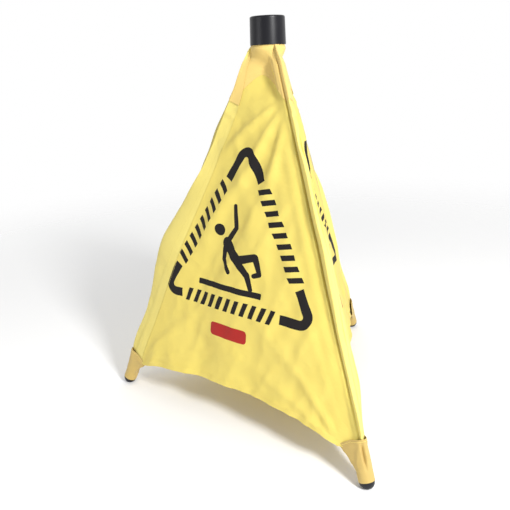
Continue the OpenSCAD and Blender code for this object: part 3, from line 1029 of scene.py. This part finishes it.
def pocket_section(t, count):
    """Pocket section t of the way down, from 0 at the top seam to 1 at the foot."""
    beside, facing = BESIDE * SWAP, FACING * SWAP
    top = np.array([RIDGE] + [(a * beside + n * facing) / 1000 for a, n in WING] + [BACK])
    low = RING_R * np.stack([np.cos(RING_AT), np.sin(RING_AT)], 1)
    k = min(1, t / RING_DOWN)
    k = k * (1.25 - 0.25 * k)
    half_loop = top * (1 - k) + low * k
    return closed_spline(np.concatenate([half_loop, half_loop[1:-1][::-1] * SWAP]), count)


def pocket_shape(leg, rows, cols):
    """(distances down the leg, section loops) of a pocket, with its crease and crumples."""
    seed = LEGS[leg]
    t = np.linspace(0, 1, rows)
    loops = np.array([pocket_section(a, cols) for a in t])
    turn = np.arctan2(loops[..., 1], loops[..., 0])
    q = (POCKET_TOP + (POCKET_LOW - POCKET_TOP) * t)[:, None] + 0 * turn
    # the crease of the sleeve runs on into the pocket, and the cloth is crumpled
    part = smooth(0.02, 0.25, t) * (1 - smooth(0.45, 0.80, t))
    groove = 0.38 * bump(np.degrees(turn), -12, 9) * part[:, None]
    crumple = 0.065 * field(q, turn * 0.012, 0.018, seed)
    crumple = crumple + 0.055 * creased(q * 0.5, turn * 0.012, 0.012, seed + 1)
    loops = loops * (1 - groove + crumple * (1 - smooth(0.55, 0.80, t))[:, None])[..., None]
    # the top seam dips towards the wings, in line with the hem
    reach = np.clip(-loops[..., 0] / 0.026, 0, 1)
    return q + 0.0085 * (1 - t)[:, None] * reach, loops, turn


def foot_pocket(leg):
    """A foot pocket, open at its top, with its stitching."""
    hinge, down, out, _ = leg_frame(LEGS[leg])
    rows, cols = 40, 120
    q, loops, turn = pocket_shape(leg, rows, cols)
    points = sweep(q, loops, leg)
    tris, normals = facing_out(points, grid_tris(rows, cols, True), hinge + q.reshape(-1, 1) * down)
    uv = np.stack([(turn * POCKET_R).ravel(), q.ravel()], 1)
    look = np.zeros(len(tris), int)
    # the pocket cloth's darker ochre is partly dirt and partly painted shade
    piece = shell(f"nylon_pocket_dirt_and_shade_{leg}", points, normals, tris, ["pocket"], look, uv, 0.0007)
    inward = np.clip(np.abs(loops[..., 1]) * BESIDE[1] - loops[..., 0] * BESIDE[0], 0, 1).ravel()
    follow = gather(1 - inward / half(points[:, 2] / math.cos(SLOPE)))
    set_blend(piece, follow)
    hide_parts(f"foot_pocket_{leg}")
    # stitching along the top seam, on the third row of points
    line, off, w = (x.reshape(rows, cols, -1)[2] for x in (points, normals, follow))
    keep = off @ out > -0.25
    ahead = unit(np.roll(line, -1, axis=0) - np.roll(line, 1, axis=0))
    spots = line[keep] + 0.0002 * off[keep]
    sewn = stitches(f"stitches_pocket_{leg}", spots, ahead[keep], off[keep], w[keep, 0], 0.0016)


for leg in LEGS:
    foot_pocket(leg)

# ---------------------------------------------------------------- floor, light and camera

LIT = Vector((0, 0, 0.35))  # where the lights aim
EYE, MIDDLE = Vector((0.620, -0.866, 0.689)), Vector((0, 0, 0.381))
YAW, PITCH, ROLL = (math.radians(a) for a in (-2.08, -3.39, 2.6))  # off the line to the cone's middle
LENS = 38.8


def paper_floor():
    """A plain pale floor that fades out into the backdrop."""
    bpy.ops.mesh.primitive_plane_add(size=6, location=(0, 0, 0))
    floor = bpy.context.object
    floor.name = "floor"
    paper = material("floor", (0.92, 0.92, 0.92), 0.9, Specular_IOR_Level=0.05)
    k = Nodes(paper)
    where = k.add("ShaderNodeTexCoord")
    distance = k.add("ShaderNodeVectorMath", {0: where.outputs["Object"]}, operation="LENGTH")
    fade = k.add(
        "ShaderNodeMapRange",
        {"Value": distance.outputs["Value"], "From Min": 0.5, "From Max": 2.4},
        interpolation_type="SMOOTHSTEP",
    )
    clear = k.add("ShaderNodeBsdfTransparent")
    mix = k.add("ShaderNodeMixShader", {0: fade.outputs[0], 1: k.shader.outputs[0], 2: clear.outputs[0]})
    k.link(mix.outputs[0], k.out.inputs["Surface"])
    floor.data.materials.append(paper)


def studio():
    """A studio that is white behind the object and darker on the camera's side."""
    world = bpy.data.worlds.new("studio")
    bpy.context.scene.world = world
    world.use_nodes = True
    sky = world.node_tree
    where = sky.nodes.new("ShaderNodeTexCoord")
    toward = sky.nodes.new("ShaderNodeVectorMath")
    toward.operation = "DOT_PRODUCT"
    toward.inputs[1].default_value = (-0.57, 0.82, 0.0)
    ramp = sky.nodes.new("ShaderNodeMapRange")
    ramp.interpolation_type = "SMOOTHSTEP"
    for key, value in {"From Min": -0.35, "From Max": 0.45, "To Min": 0.46, "To Max": 1.0}.items():
        ramp.inputs[key].default_value = value
    sky.links.new(where.outputs["Generated"], toward.inputs[0])
    sky.links.new(toward.outputs["Value"], ramp.inputs["Value"])
    sky.links.new(ramp.outputs[0], sky.nodes["Background"].inputs["Strength"])
    sky.nodes["Background"].inputs["Color"].default_value = (1, 1, 1, 1)


def area_light(name, at, size, power):
    """A round soft light aimed at the cone's middle."""
    data = bpy.data.lights.new(name, "AREA")
    data.shape, data.size, data.energy = "DISK", size, power
    obj = bpy.data.objects.new(name, data)
    obj.location = at
    obj.rotation_mode = "QUATERNION"
    obj.rotation_quaternion = (LIT - Vector(at)).to_track_quat("-Z", "Y")
    bpy.context.scene.collection.objects.link(obj)


def place_camera():
    """The camera, turned a little off the cone's middle and rolled."""
    camera = bpy.data.objects.new("camera", bpy.data.cameras.new("camera"))
    bpy.context.scene.collection.objects.link(camera)
    bpy.context.scene.camera = camera
    back = (EYE - MIDDLE).normalized()
    right = (-back).cross(Vector((0, 0, 1))).normalized()
    up = right.cross(-back)
    ahead = (-back + math.tan(YAW) * right + math.tan(PITCH) * up).normalized()
    camera.location = EYE
    camera.rotation_mode = "QUATERNION"
    roll = Matrix.Rotation(-ROLL, 3, "Z").to_quaternion()
    camera.rotation_quaternion = ahead.to_track_quat("-Z", "Y") @ roll
    camera.data.lens = LENS
    camera.data.clip_start, camera.data.clip_end = 0.05, 60


paper_floor()
studio()
area_light("key", (1.9, -0.65, 1.45), 0.5, 58)
area_light("fill", (-0.9, -2.1, 0.9), 1.2, 8)
place_camera()
bpy.context.scene.view_settings.view_transform = "Standard"
